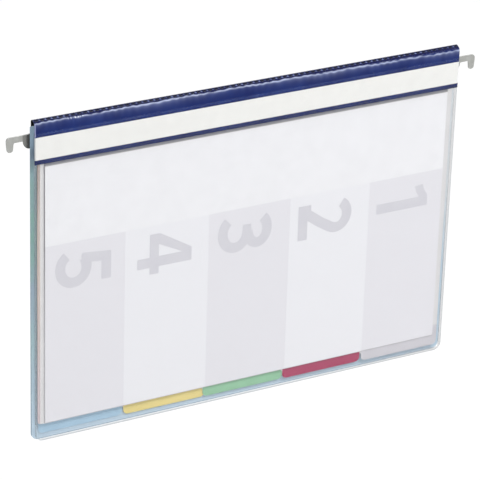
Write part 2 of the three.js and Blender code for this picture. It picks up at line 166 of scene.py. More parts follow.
class Board:
    """Adds nodes to one material's tree and links them. The place on the piece is read from its
    Object coordinates or, on a piece that bends, from the rest positions stored with its points.
    Texture scales are in waves per metre."""

    def __init__(self, material, bends=False):
        self.tree = material.node_tree
        self.shader = self.tree.nodes["Principled BSDF"]
        if bends:
            self.place = self.add("Attribute", attribute_name="rest", output="Vector")
        else:
            self.place = self.tree.nodes.new("ShaderNodeTexCoord").outputs["Object"]

    def add(self, kind, inputs=(), output=0, **settings):
        """An output of a new node. Each input is a socket to link or a constant."""
        node = self.tree.nodes.new("ShaderNode" + kind)
        for key, value in settings.items():
            setattr(node, key, value)
        for key, value in dict(inputs).items():
            if isinstance(value, bpy.types.NodeSocket):
                self.tree.links.new(value, node.inputs[key])
            else:
                node.inputs[key].default_value = value
        return node.outputs[output]

    def axis(self, name):
        """One coordinate of the place."""
        return self.add("SeparateXYZ", {0: self.place}, output="XYZ".index(name))

    def mark(self, name):
        """A value stored with the piece's points."""
        return self.add("Attribute", attribute_name=name, output="Fac")

    def stretched(self, scale):
        """The place with its axes scaled: a texture is drawn out along an axis scaled below 1."""
        return self.add("Mapping", {"Vector": self.place, "Scale": scale})

    def noise(self, scale, detail=3.0, place=None):
        """Noise over the piece, or over the place that is given."""
        place = self.place if place is None else place
        return self.add("TexNoise", {"Vector": place, "Scale": scale, "Detail": detail})

    def math(self, operation, first, second=0.0, third=0.0):
        """The result of a Math node."""
        return self.add("Math", {0: first, 1: second, 2: third}, operation=operation)

    def both(self, *shares):
        """The product of shares, which is 1 only where each of them is."""
        product = shares[0]
        for share in shares[1:]:
            product = self.math("MULTIPLY", product, share)
        return product

    def scaled(self, share, factor, start):
        """The start plus the share times the factor."""
        return self.math("MULTIPLY_ADD", share, factor, start)

    def rising(self, value, low, high, to_low=0.0, to_high=1.0):
        """A share that goes from 0, or to_low, where the value is low to 1, or to_high, where it is
        high."""
        inputs = {0: value, 1: low, 2: high, 3: to_low, 4: to_high}
        return self.add("MapRange", inputs, clamp=True)

    def falling(self, value, low, high, most=1.0):
        """A share that falls from the most where the value is low to 0 where it is high."""
        return self.rising(value, low, high, most, 0.0)

    def mix(self, share, first, second):
        """A colour that goes from the first to the second with the share. Each of the two is a
        socket or three screen values."""
        node = self.tree.nodes.new("ShaderNodeMix")
        node.data_type = "RGBA"
        self.tree.links.new(share, node.inputs[MIX_SHARE])
        for index, value in ((MIX_FIRST, first), (MIX_SECOND, second)):
            if isinstance(value, bpy.types.NodeSocket):
                self.tree.links.new(value, node.inputs[index])
            else:
                node.inputs[index].default_value = (*linear(value), 1)
        return node.outputs[MIX_RESULT]

    def patches(self, first, second, scale, detail=3.0, low=0.3, high=0.7):
        """Two tones in soft patches, split where the noise goes from low to high."""
        return self.mix(self.rising(self.noise(scale, detail), low, high), first, second)

    def colour(self, value):
        """Links the base colour; the next three do the same for what their names say."""
        self.tree.links.new(value, self.shader.inputs["Base Color"])

    def alpha(self, value):
        self.tree.links.new(value, self.shader.inputs["Alpha"])

    def roughness(self, texture, least, most, low=0.3, high=0.7):
        """From the least where the texture is low to the most where it is high."""
        value = self.rising(texture, low, high, least, most)
        self.tree.links.new(value, self.shader.inputs["Roughness"])

    def bump(self, height, distance, strength):
        inputs = {"Height": height, "Distance": distance, "Strength": strength}
        self.tree.links.new(self.add("Bump", inputs), self.shader.inputs["Normal"])


# Tones of the dark blue film. All after the first pair are painted light or shade
NAVY_FACE = (14, 32, 96), (24, 46, 114)
NAVY_TOP_SHADE = (10, 18, 70)
NAVY_PRESSED_SHADE = (7, 12, 38)
NAVY_FLECK_HIGHLIGHT = (136, 150, 200)
NAVY_FOLD_HIGHLIGHT = (178, 188, 220)
NAVY_FOLD_GLINT = (250, 251, 255)
NAVY_FOLD_END_HIGHLIGHT = (156, 162, 204)
NAVY_TITLE_END_HIGHLIGHT = (236, 238, 240)


def navy_film():
    """Glossy dark blue film, with painted shade that darkens it over the spine's top and blackens
    the pressed row there, a painted highlight fleck between two presses, a painted highlight in a
    broken line along the fold with painted glints, and painted highlights at the left end of the
    fold and beside the title strip's ends."""
    material = plain("navy_film", (16, 34, 98), 0.24, Specular_IOR_Level=0.14)
    board = Board(material, bends=True)
    height, across = board.axis("Z"), board.axis("X")
    # Painted shade: the film is darker over the spine's top
    top = board.rising(height, CREASE_Z - 0.3 * MM, CREASE_Z + 0.6 * MM)
    tone = board.mix(top, board.patches(*NAVY_FACE, 90, low=0.35), NAVY_TOP_SHADE)
    # Painted shade in the hollows of the pressed row
    tone = board.mix(board.rising(board.mark("pressed"), 0.1, 0.7), tone, NAVY_PRESSED_SHADE)
    # Painted highlight flecks on the lower rims between the presses
    tone = board.mix(board.mark("fleck"), tone, NAVY_FLECK_HIGHLIGHT)
    # Painted highlight in a broken line along the fold, with white painted glints where it is
    # strongest
    fold_highlight = board.mark("fold_highlight")
    tone = board.mix(fold_highlight, tone, NAVY_FOLD_HIGHLIGHT)
    tone = board.mix(board.rising(fold_highlight, 0.93, 0.99), tone, NAVY_FOLD_GLINT)
    # Painted highlight at the film's left end, between the title strip and the fold
    end = board.falling(across, COVER_LEFT + 0.5 * MM, COVER_LEFT + 0.9 * MM)
    below = board.falling(height, CREASE_Z - 0.2 * MM, CREASE_Z + 0.6 * MM)
    above = board.rising(height, TITLE_TOP, TITLE_TOP + 0.3 * MM)
    tone = board.mix(board.both(end, below, above), tone, NAVY_FOLD_END_HIGHLIGHT)
    # Painted highlight beside the title strip's ends
    away = board.math("ABSOLUTE", across)
    outside = board.rising(away, TITLE_RIGHT - 0.05 * MM, TITLE_RIGHT + 0.05 * MM)
    under = board.falling(height, TITLE_TOP - 0.1 * MM, TITLE_TOP)
    over = board.rising(height, TITLE_BOTTOM, TITLE_BOTTOM + 0.1 * MM)
    board.colour(board.mix(board.both(outside, under, over), tone, NAVY_TITLE_END_HIGHLIGHT))
    streaks = board.noise(60, 5, board.stretched((0.4, 1, 3)))
    board.roughness(streaks, 0.16, 0.3, high=0.75)
    board.bump(board.noise(1800, 4), 0.02 * MM, 0.4)
    return material


def film_edge():
    """The cut end of the dark blue film: pale violet in front between the fold and the title strip,
    where light gets into it, paler beside the strip, and dark elsewhere."""
    material = plain("film_edge", (150, 156, 200), 0.4)
    board = Board(material, bends=True)
    height = board.axis("Z")
    below = board.falling(height, CREASE_Z - 0.4 * MM, CREASE_Z + 0.4 * MM)
    above = board.rising(height, TITLE_TOP, TITLE_TOP + 0.3 * MM)
    front = board.falling(board.axis("Y"), PANEL_Y + 0.5 * MM, PANEL_Y + 0.9 * MM)
    over = board.rising(height, TITLE_BOTTOM, TITLE_BOTTOM + 0.1 * MM)
    violet = board.patches((146, 152, 196), (164, 170, 210), 1500)
    lit = board.mix(above, (226, 229, 232), violet)
    board.colour(board.mix(board.both(front, below, over), (12, 16, 44), lit))
    return material


def film_inside():
    """The dark blue film's inner face, with painted shade that makes it almost black inside the
    arch; dark blue below.
    """
    material = plain("film_inside", (10, 14, 40), 0.45, Specular_IOR_Level=0.2)
    board = Board(material, bends=True)
    # Painted shade inside the arch
    arch = board.rising(board.axis("Z"), CREASE_Z - 6 * MM, CREASE_Z - 3 * MM)
    low = board.patches((14, 24, 74), (18, 30, 84), 200)
    board.colour(board.mix(arch, low, (3, 4, 10)))
    board.roughness(board.noise(900), 0.4, 0.55)
    return material


def paper(name, colour, other):
    """Uncoated paper: soft mottling and short fibres."""
    material = plain(name, colour, 0.62, Specular_IOR_Level=0.3)
    board = Board(material)
    board.colour(board.patches(colour, other, 140, 4))
    add_fibres(board, 900)
    return material


def add_fibres(board, scale):
    """Short upright fibres, seen in the sheen and in a slight bump."""
    fibres = board.noise(scale, 5, board.stretched((1, 1, 0.45)))
    board.roughness(fibres, 0.55, 0.7)
    board.bump(fibres, 0.03 * MM, 0.45)


INDEX_WHITE = (240, 240, 243)
# The painted shadow under the front panel, in distances below the dark blue film: where it starts
# and is full, and where its darker part starts and is full
PANEL_SHADOW_START, PANEL_SHADOW_FULL = 3.7 * MM, 3.1 * MM
SHADOW_CORE_START, SHADOW_CORE_FULL = 3.2 * MM, 2.2 * MM


def index_paper():
    """White paper printed with the columns, with a painted shadow along its left and lower edges
    that is weaker towards the bottom, and a painted shadow in a grey band right under the front
    panel."""
    material = plain("index_paper", INDEX_WHITE, 0.62, Specular_IOR_Level=0.3)
    board = Board(material, bends=True)
    height = board.axis("Z")
    tone = printed_columns(board, board.patches(INDEX_WHITE, (244, 244, 247), 140, 4))
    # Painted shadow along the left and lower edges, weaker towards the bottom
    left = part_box("index_sheet")[0].x + SHEET_SHIFT[0]
    beside = board.falling(board.axis("X"), left + 0.35 * MM, left + 0.7 * MM)
    under = board.falling(height, SHEET_BOTTOM + 0.3 * MM, SHEET_BOTTOM + 0.6 * MM)
    fading = board.rising(height, -150 * MM, -60 * MM, 0.45, 1.0)
    cut = board.both(board.math("MAXIMUM", beside, under), fading)
    tone = board.mix(cut, tone, (128, 124, 130))
    # Painted shadow of the front panel on the paper, darkest just below it
    band = board.rising(height, FILM_BOTTOM - PANEL_SHADOW_START, FILM_BOTTOM - PANEL_SHADOW_FULL, 0.0, 0.85)
    darker = board.rising(height, FILM_BOTTOM - SHADOW_CORE_START, FILM_BOTTOM - SHADOW_CORE_FULL)
    board.colour(board.mix(band, tone, board.mix(darker, (142, 139, 140), (112, 113, 124))))
    add_fibres(board, 900)
    return material


TAB_COLOUR_RISE = 8 * MM  # the colour reaches this far above the tab
PRINT_BLUR = 0.1 * MM  # half the width over which a printed edge changes


def card(name, number, body, colour):
    """Divider card: pale, with its own colour on the tab and a little above it, between the tab's
    sides. Its left edge carries painted shade, pinkish below and yellower above, and a brown
    painted shadow line near the top."""
    material = plain(name, colour, 0.55, Specular_IOR_Level=0.3)
    board = Board(material, bends=True)
    across, height = board.axis("X"), board.axis("Z")
    top = SHEET_BOTTOM + TAB_COLOUR_RISE
    below = board.falling(height, top - PRINT_BLUR, top + PRINT_BLUR)
    middle = DIVIDER_RIGHT + SHEET_SHIFT[number] - (number - 0.5) * TAB_PITCH
    away = board.math("ABSOLUTE", board.math("SUBTRACT", across, middle))
    between = board.falling(away, TAB_PITCH / 2 - PRINT_BLUR, TAB_PITCH / 2 + PRINT_BLUR)
    mottle = board.rising(board.noise(120, 4), 0.3, 0.7)
    tab = board.mix(mottle, colour, tuple(value + 6 for value in colour))
    pale = board.mix(mottle, body, tuple(value + 5 for value in body))
    left = DIVIDER_LEFT + SHEET_SHIFT[number]
    # Painted shade along the left edge, pinkish below and yellower above
    edge_shade = board.falling(across, left + 0.2 * MM, left + 1.0 * MM, 0.6)
    yellower_above = board.rising(height, -180 * MM, -110 * MM)
    pale = board.mix(edge_shade, pale, board.mix(yellower_above, (222, 200, 206), (220, 194, 172)))
    # Brown painted shadow line at the left edge near the top
    cut = board.falling(across, left + 0.15 * MM, left + 0.4 * MM, 0.7)
    upper = board.rising(height, -70 * MM, -30 * MM)
    pale = board.mix(board.both(cut, upper), pale, (92, 76, 66))
    board.colour(board.mix(board.both(below, between), pale, tab))
    add_fibres(board, 700)
    return material


COLUMN_TOP = CREASE_Z - 0.386 * COVER_HEIGHT
DARK_COLUMN = (232, 231, 236)
LIGHT_COLUMN = (239, 239, 243)


def printed_columns(board, ground):
    """Below one level the sheet's front is printed in columns as wide as the tabs, in turn darker
    and lighter: the column's number is the distance from the left edge over the pitch, and odd ones
    are lighter."""
    from_left = board.math("SUBTRACT", board.axis("X"), DIVIDER_LEFT + SHEET_SHIFT[0])
    number = board.math("FLOOR", board.math("DIVIDE", from_left, TAB_PITCH))
    columns = board.mix(board.math("MODULO", number, 2.0), DARK_COLUMN, LIGHT_COLUMN)
    below = board.falling(board.axis("Z"), COLUMN_TOP - PRINT_BLUR, COLUMN_TOP + PRINT_BLUR)
    face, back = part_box("index_sheet")[0].y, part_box("index_sheet")[1].y
    front = board.falling(board.axis("Y"), face + 0.02 * MM, back - 0.02 * MM)
    return board.mix(board.both(below, front), ground, columns)


def edge_distance(board, half_width, bottom):
    """The distance of a point to the nearer side edge of a film or to its lower edge."""
    to_side = board.math("SUBTRACT", half_width, board.math("ABSOLUTE", board.axis("X")))
    to_bottom = board.math("SUBTRACT", board.axis("Z"), bottom)
    return board.math("MINIMUM", to_side, to_bottom)


def add_gloss(board):
    """A faint wave and a few fine scratches in a smooth film's shine."""
    scratches = board.noise(300, 3, board.stretched((0.1, 1, 1.8)))
    board.roughness(scratches, 0.08, 0.24, 0.45, 0.8)
    board.bump(board.noise(22, 2), 0.5 * MM, 0.25)


CLEAR = (244, 247, 252)


def cover_film():
    """Clear glossy film: denser towards its side and lower edges, most of all towards the right,
    with a thin darker line along the cut, widest on the left."""
    material = plain("cover_film", CLEAR, 0.12, Specular_IOR_Level=0.25)
    board = Board(material)
    distance = edge_distance(board, COVER_RIGHT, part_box("front_cover")[0].z)
    right = board.rising(board.axis("X"), 50 * MM, 140 * MM)
    rim_width = board.scaled(right, 1.2 * MM, 1.6 * MM)
    rim = board.falling(board.math("DIVIDE", distance, rim_width), 0.7, 1.0)
    left = board.falling(board.axis("X"), COVER_LEFT + 1 * MM, COVER_LEFT + 2 * MM)
    cut_width = board.scaled(left, 0.5 * MM, 0.5 * MM)
    cut = board.falling(board.math("DIVIDE", distance, cut_width), 0.5, 1.0)
    tone = board.mix(rim, CLEAR, board.mix(right, (158, 172, 182), (166, 168, 172)))
    board.colour(board.mix(cut, tone, (160, 170, 178)))
    board.alpha(board.scaled(cut, 0.12, board.scaled(rim, 0.25, 0.03)))
    add_gloss(board)
    return material


def pocket_film():
    """Clear glossy film of even density."""
    material = plain("pocket_film", CLEAR, 0.12, Alpha=0.012, Specular_IOR_Level=0.25)
    add_gloss(Board(material))
    return material


def weld_film():
    """Film melted dull and blue over the dark panel, uneven along X."""
    material = plain("weld_film", (70, 104, 190), 0.6, Alpha=0.3, Specular_IOR_Level=0.05)
    board = Board(material)
    melt = board.rising(board.noise(260, 3, board.stretched((0.3, 1, 1))), 0.35, 0.65)
    board.colour(board.mix(melt, (58, 88, 172), (92, 124, 204)))
    board.roughness(melt, 0.5, 0.7, 0.0, 1.0)
    return material


def back_film():
    """Light blue translucent film with a fine pebbled face, with a painted highlight line and a
    painted shadow line beside the cut. Towards the spine it carries painted shade along its left
    edge and is paler along its right one, and its upper left corner is blue again, with less of the
    shade."""
    material = plain("back_film", (176, 202, 222), 0.32, Alpha=0.92)
    board = Board(material)
    across, height = board.axis("X"), board.axis("Z")
    low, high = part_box("back_cover")
    distance = edge_distance(board, high.x, low.z)
    tone = board.patches((188, 210, 227), (196, 217, 232), 50)
    # A painted highlight line beside the cut, and nearer the cut a painted shadow line
    tone = board.mix(board.falling(distance, 0.9 * MM, 1.3 * MM, 0.35), tone, (214, 228, 238))
    tone = board.mix(board.falling(distance, 0.4 * MM, 0.7 * MM, 0.75), tone, (122, 150, 172))
    # Painted shade along the left edge towards the spine
    left = board.falling(across, COVER_LEFT + 4 * MM, COVER_LEFT + 6 * MM)
    upwards = board.rising(height, -200 * MM, -70 * MM)
    left_shade = board.patches((146, 166, 182), (138, 176, 170), 35, 2, 0.4, 0.6)
    tone = board.mix(board.both(left, upwards), tone, left_shade)
    right = board.rising(across, COVER_RIGHT - 6 * MM, COVER_RIGHT - 4 * MM)
    upper = board.rising(height, -150 * MM, -90 * MM, 0.0, 0.8)
    tone = board.mix(board.both(right, upper), tone, (224, 226, 228))
    # Less painted shade in the upper left corner
    corner = board.rising(height, -30 * MM, -12 * MM, 0.0, 0.7)
    board.colour(board.mix(board.both(corner, left), tone, (164, 190, 210)))
    board.roughness(board.noise(500), 0.26, 0.4)
    pebbles = board.add("TexVoronoi", {"Vector": board.place, "Scale": 1400.0})
    board.bump(pebbles, 0.03 * MM, 0.4)
    return material


# Where the hooks come out of the spine, along X: the left one's band of painted shade starts and
# ends, and the right one's strip of painted highlight starts and ends
SHADE_BAND = -160.6 * MM, -155.4 * MM
HIGHLIGHT_STRIP = 154.6 * MM, 156.7 * MM


def hook_steel():
    """Grey lacquered steel: satin, with a slight orange-peel and rubbed spots. Where the hooks come
    out of the spine the left one has a band of painted shade and the right one a strip of painted
    highlight."""
    material = plain("hook_steel", (172, 173, 168), 0.38, Metallic=0.25)
    board = Board(material)
    across = board.axis("X")
    tone = board.patches((172, 173, 169), (184, 185, 182), 160, 5, 0.45, 0.75)
    # Painted shade on the left hook where it comes out of the spine
    start, end = SHADE_BAND
    dark = board.both(
        board.rising(across, start - 0.2 * MM, start + 0.2 * MM),
        board.falling(across, end, end + 0.4 * MM),
    )
    tone = board.mix(dark, tone, (130, 130, 127))
    # Painted highlight on the right hook where it comes out of the spine
    start, end = HIGHLIGHT_STRIP
    bright = board.both(
        board.rising(across, start, start + 0.4 * MM),
        board.falling(across, end, end + 0.3 * MM),
    )
    board.colour(board.mix(bright, tone, (200, 203, 220)))
    board.roughness(board.noise(420, 4), 0.3, 0.48)
    board.bump(board.noise(1100, 3), 0.03 * MM, 0.5)
    return material


def fastener_steel():
    """Bright rolled steel with fine lines along X."""
    material = plain("fastener_steel", (190, 193, 196), 0.3, Metallic=0.9)
    board = Board(material)
    lines = board.noise(700, 4, board.stretched((0.03, 1, 1)))
    board.roughness(lines, 0.22, 0.42)
    board.bump(lines, 0.02 * MM, 0.6)
    return material


def dark_plastic():
    """Dark grey moulded plastic with a fine spark-eroded texture."""
    material = plain("dark_plastic", (58, 61, 66), 0.5)
    board = Board(material)
    board.colour(board.patches((54, 57, 62), (64, 67, 73), 200, 4))
    board.roughness(board.noise(900, 3), 0.42, 0.6)
    board.bump(board.noise(1600, 2), 0.04 * MM, 0.5)
    return material


looks = {
    "navy_film": navy_film(),
    "film_edge": film_edge(),
    "film_inside": film_inside(),
    "title_paper": paper("title_paper", (241, 241, 238), (245, 245, 242)),
    "index_paper": index_paper(),
    "digit_print": paper("digit_print", (213, 212, 219), (217, 216, 222)),
    "grey_card": card("grey_card", 1, (222, 221, 222), (207, 205, 211)),
    "red_card": card("red_card", 2, (234, 222, 224), (170, 56, 94)),
    "green_card": card("green_card", 3, (222, 226, 220), (148, 198, 162)),
    "yellow_card": card("yellow_card", 4, (236, 230, 216), (232, 214, 138)),
    "blue_card": card("blue_card", 5, (232, 224, 222), (168, 200, 222)),
    "cover_film": cover_film(),
    "pocket_film": pocket_film(),
    "weld_film": weld_film(),
    "back_film": back_film(),
    "hook_steel": hook_steel(),
    "fastener_steel": fastener_steel(),
    "dark_plastic": dark_plastic(),
}


# ---- Meshes

def new_piece(name, points, faces, look, smooth=False):
    """An object at the origin from an array of points and a list of faces. Its points keep their
    rest positions in an attribute."""
    mesh = bpy.data.meshes.new(name)
    mesh.from_pydata([tuple(p) for p in points], [], faces)
    rest = mesh.attributes.new("rest", "FLOAT_VECTOR", "POINT")
    rest.data.foreach_set("vector", points.astype(np.float32).ravel())
    mesh.polygons.foreach_set("use_smooth", np.full(len(mesh.polygons), smooth))
    mesh.materials.append(looks[look])
    mesh.update()
    piece = bpy.data.objects.new(name, mesh)
    bpy.context.scene.collection.objects.link(piece)
    return piece


def grid_faces(rows, columns):
    """Four-sided faces of a grid whose points run along its rows. They face the way that turning
    from the next row to the next column points."""
    corner = np.arange(rows * columns).reshape(rows, columns)
    sides = [corner[:-1, :-1], corner[1:, :-1], corner[1:, 1:], corner[:-1, 1:]]
    return np.stack(sides, -1).reshape(-1, 4).tolist()


def rounded_outline(corners, steps=8):
    """Points of a closed outline from its corners, each (x, z, radius): a round corner becomes an
    arc that touches both sides, at radius over the tangent of half the corner's angle from the
    corner."""
    points = []
    count = len(corners)
    for index, (x, z, radius) in enumerate(corners):
        corner = np.array([x, z])
        if radius == 0:
            points.append(corner)
            continue
        before = np.array(corners[index - 1][:2]) - corner
        after = np.array(corners[(index + 1) % count][:2]) - corner
        before, after = before / np.linalg.norm(before), after / np.linalg.norm(after)
        half = math.acos(np.clip(before @ after, -1, 1)) / 2
        start = corner + before * radius / math.tan(half)
        inwards = (before + after) / np.linalg.norm(before + after)
        centre = corner + inwards * radius / math.sin(half)
        swing = math.pi - 2 * half
        if before[0] * after[1] - before[1] * after[0] > 0:
            swing = -swing
        angles = np.linspace(0, swing, steps + 1)
        arm = start - centre
        arc_x = arm[0] * np.cos(angles) - arm[1] * np.sin(angles)
        arc_z = arm[0] * np.sin(angles) + arm[1] * np.cos(angles)
        points.extend(centre + np.stack([arc_x, arc_z], 1))
    return np.array(points)


def inside(outline, points):
    """Which points lie inside an outline: the ones from which a ray crosses it an odd number of
    times."""
    start, end = outline, np.roll(outline, -1, 0)
    px, pz = points[:, 0][:, None], points[:, 1][:, None]
    spans = (start[:, 1] > pz) != (end[:, 1] > pz)
    rise = np.where(end[:, 1] == start[:, 1], 1, end[:, 1] - start[:, 1])
    crossing = start[:, 0] + (pz - start[:, 1]) * (end[:, 0] - start[:, 0]) / rise
    return (spans & (px < crossing)).sum(1) % 2 == 1


SAME_POINT = 1e-7


def flat_piece(name, outlines, holes, folds, front_y, back_y, look):
    """A closed flat piece: its joined outlines in X and Z less its holes, cut into triangles along
    the lines across its folds, at front_y and at back_y, with a wall along every edge that bounds
    it."""
    loops = [*outlines, *holes]
    points = [Vector(p) for loop in loops for p in loop]
    edges = []
    first = 0
    for loop in loops:
        count = len(loop)
        edges += [(first + k, first + (k + 1) % count) for k in range(count)]
        first += count
    left, right = outlines[0][:, 0].min(), outlines[0][:, 0].max()
    for z in folds:
        edges.append((len(points), len(points) + 1))
        points += [Vector((left, z)), Vector((right, z))]
    found = delaunay_2d_cdt(points, edges, [], 0, SAME_POINT)
    flat = np.array([tuple(p) for p in found[0]])
    triangles = np.array(found[2])
    middle = flat[triangles].mean(1)
    kept = np.any([inside(outline, middle) for outline in outlines], axis=0)
    for hole in holes:
        kept &= ~inside(hole, middle)
    triangles = triangles[kept]
    a, b, c = (flat[triangles[:, k]] for k in range(3))
    ab, ac = b - a, c - a
    turned = ab[:, 0] * ac[:, 1] < ab[:, 1] * ac[:, 0]
    triangles[turned] = triangles[turned][:, ::-1]
    used, place = np.unique(triangles, return_inverse=True)
    triangles = place.reshape(triangles.shape)
    flat = flat[used]
    total = len(flat)
    sides = triangles[:, [0, 1, 1, 2, 2, 0]].reshape(-1, 2)
    known = {tuple(side) for side in sides.tolist()}
    walls = [(i, i + total, j + total, j) for i, j in known if (j, i) not in known]
    walls.sort()
    front = np.column_stack([flat[:, 0], np.full(total, front_y), flat[:, 1]])
    back = np.column_stack([flat[:, 0], np.full(total, back_y), flat[:, 1]])
    faces = triangles.tolist() + (triangles[:, ::-1] + total).tolist() + walls
    return new_piece(name, np.concatenate([front, back]), faces, look)


def circle(x, z, radius, count=32):
    """Points of a circle."""
    angles = np.linspace(0, 2 * math.pi, count, endpoint=False)
    return np.column_stack([x + radius * np.cos(angles), z + radius * np.sin(angles)])


# ---- Spine and front panel: one dark blue film

OVAL_PITCH = 4.2 * MM
OVAL_COUNT = 74
OVAL_DEPTH = 0.3 * MM
OVAL_LENGTH = 0.86  # share of the pitch
OVAL_MIDDLE = 0.3  # share of the slope from the ridge
OVAL_HALF = 0.24  # half the height, in shares of the slope
STEPS_PER_OVAL = 8
STRIP_POINTS = 3
RIDGE_STEPS = 8
SLOPE_STEPS = 24
FOLD_STEPS = 16
PANEL_STEPS = 11
FOLD_START = 0.85  # share of the slope where the fold's curve starts
FOLD_DROP = 2.4 * MM
FILM_EDGE_SLOT, FILM_INSIDE_SLOT = 1, 2  # places in the film's list of materials
# What follows is in millimetres. The dent's middle and width along X
DENT_X, DENT_WIDTH = -128, 4.5
# How far the fold is drawn in, and its bell's height above the crease and reach
PUCKER = 0.24
PUCKER_AT, PUCKER_REACH = -0.3, 1.6
# The same height and reach for the dent's bell
DENT_AT, DENT_REACH = -1.2, 2.2
# How far the fold's painted highlight line lies below the crease, and how much lower at its right
# end
LINE_START, LINE_SINK = -0.55, 1.3
# Where along X it starts to sink, and over what length
SINK_FROM, SINK_LENGTH = 20, 90
# How far the bell of the painted glint specks lies below the crease, and its reach
SPECKS_AT, SPECKS_REACH = -0.3, 0.6
# Sums of sines of the length along X. A term is its strength, its wave length over 2 pi, where it
# starts, and how far, in radians, and in what lengths its waves drift closer and apart
PUCKER_WAVES = [
    (1, 1.31, 0, 2, 17),
    (0.7, 2.9, 1, 0, 1),
    (0.5, 0.83, 0, 3, 11),
    (0.9, 8.3, 2, 0, 1),
]
DENT_WAVES = [(1, 0.62, 0, 0, 1), (0.6, 0.41, 0, 0, 1)]
HIGHLIGHT_LINE_WAVES = [
    (0.2, 23, 0.6, 0, 1),
    (0.22, 6.7, 0, 0, 1),
    (0.2, 0.95, 0, 2.4, 7.7),
    (0.12, 2.3, 0, 0, 1),
]
HIGHLIGHT_STRENGTH_WAVES = [(0.16, 13.7, 1.1, 0, 1), (0.2, 3.2, 2, 0, 1), (0.22, 1.15, 0, 1.5, 9)]
HIGHLIGHT_TAIL_WAVES = [(0.16, 19, 5.2, 0, 1)]
FLECK_WAVES = [(0.5, 3.3, 0, 2, 9)]


def waves(length, terms):
    """One of the sums above."""
    total = 0
    for strength, pitch, start, drift, drift_pitch in terms:
        drifting = start + drift * np.sin(length / drift_pitch)
        total = total + strength * np.sin(length / pitch + drifting)
    return total


def bell(distance, width):
    """1 at no distance, falling to 1 / e at the width."""
    return np.exp(-(distance / width) ** 2)


def film_profile():
    """Points of the film's outer face from the back strip's lower edge to the panel's: a straight,
    a quarter ellipse to the ridge, a slope z = rise * (1 - share ** power), a parabola touching the
    slope and the panel, a straight. The second array is each point's share of the slope, or -1 off
    it."""
    rise = ARCH_TOP - CREASE_Z
    ridge_y = BACK_STRIP_Y - RIDGE_INSET
    depth = ridge_y - PANEL_Y
    strip_z = np.linspace(FILM_BOTTOM, CREASE_Z, STRIP_POINTS)
    strip = np.column_stack([np.full(STRIP_POINTS, BACK_STRIP_Y), strip_z])
    angle = np.linspace(0, math.pi / 2, RIDGE_STEPS + 1)[1:]
    ellipse_y = ridge_y + RIDGE_INSET * np.cos(angle)
    ellipse = np.column_stack([ellipse_y, CREASE_Z + rise * np.sin(angle)])
    share = np.linspace(0, FOLD_START, SLOPE_STEPS + 1)[1:]
    slope_z = CREASE_Z + rise * (1 - share ** SLOPE_POWER)
    slope = np.column_stack([ridge_y - depth * share, slope_z])
    steepness = rise * SLOPE_POWER * FOLD_START ** (SLOPE_POWER - 1)
    meeting = np.array([PANEL_Y, slope[-1][1] - steepness * (1 - FOLD_START)])
    below = np.array([PANEL_Y, CREASE_Z - FOLD_DROP])
    step = np.linspace(0, 1, FOLD_STEPS + 1)[1:, None]
    fold = (1 - step) ** 2 * slope[-1] + 2 * step * (1 - step) * meeting + step ** 2 * below
    step = np.linspace(0, 1, PANEL_STEPS + 1)[1:]
    panel_z = below[1] + (FILM_BOTTOM - below[1]) * step ** 1.5
    panel = np.column_stack([np.full(PANEL_STEPS, PANEL_Y), panel_z])
    profile = np.concatenate([strip, ellipse, slope, fold, panel])
    on_slope = np.full(len(profile), -1.0)
    first = len(strip) + len(ellipse)
    on_slope[first:first + len(slope)] = share
    return profile, on_slope


def pucker(profile, along):
    """How far the film is drawn in near its front fold: a sum of sines of the length along X with
    uneven wave lengths, and short waves in the dent near the left end, times bells round the fold
    that die out towards the ridge."""
    length = along[None, :] / MM
    dent = bell(length - DENT_X, DENT_WIDTH) * (1 + waves(length, DENT_WAVES))
    above_crease = (profile[:, 1] - CREASE_Z)[:, None] / MM
    narrow_bell = bell(above_crease - PUCKER_AT, PUCKER_REACH)
    wide_bell = bell(above_crease - DENT_AT, DENT_REACH)
    in_front = np.clip((PANEL_Y + 2.6 * MM - profile[:, 0]) / (1.6 * MM), 0, 1)[:, None]
    in_front = in_front * in_front * (3 - 2 * in_front)
    wavy = narrow_bell * (0.5 + waves(length, PUCKER_WAVES) / 5)
    return PUCKER * MM * in_front * (wavy + 0.7 * wide_bell * dent)


def fold_highlight_strength(profile, along):
    """How strong the painted highlight along the fold is, from 0 to 1: a bell round a line that
    wanders along the crease, with a soft tail below it, both of uneven strength along X, and
    painted glint specks in the dent."""
    steps = np.hypot(*np.diff(profile, axis=0).T)
    reach = np.concatenate([[0], np.cumsum(steps)])
    crease = len(profile) - 1 - np.argmax(profile[::-1, 1] >= CREASE_Z)
    below = (reach - reach[crease])[:, None] / MM
    length = along[None, :] / MM
    sinking = np.clip((length - SINK_FROM) / SINK_LENGTH, 0, 1)
    line = LINE_START + LINE_SINK * sinking + waves(length, HIGHLIGHT_LINE_WAVES)
    strength = np.clip(0.7 + waves(length, HIGHLIGHT_STRENGTH_WAVES), 0.2, 1)
    core = bell(below - line, np.where(below < line, 0.4, 0.7))
    tail = np.exp(-np.clip(below - line, 0, None) / 1.7) * (below > line)
    tail = tail * np.clip(0.34 + waves(length, HIGHLIGHT_TAIL_WAVES), 0, 1)
    specks = np.clip(3 * np.sin(length / 0.33) * np.sin(length / 1.4 + 1), 0, 1)
    specks = bell(length - DENT_X, DENT_WIDTH) * specks * bell(below - SPECKS_AT, SPECKS_REACH)
    return np.clip(np.minimum(0.95 * core * strength + tail, 0.9) + 1.8 * specks, 0, 1)


def flecks(on_slope, along):
    """Where a painted highlight fleck lies between two presses: a small bell at each pitch, on the
    lower half of the row."""
    phase = ((along - COVER_LEFT) / OVAL_PITCH + 0.5) % 1 - 0.5
    across = bell(phase - 0.04, 0.13)[None, :]
    down = (bell(on_slope - OVAL_MIDDLE - 0.06, 0.12) * (on_slope >= 0))[:, None]
    uneven = np.clip(0.7 + waves(along / MM, FLECK_WAVES), 0.15, 1)[None, :]
    return across * down * uneven


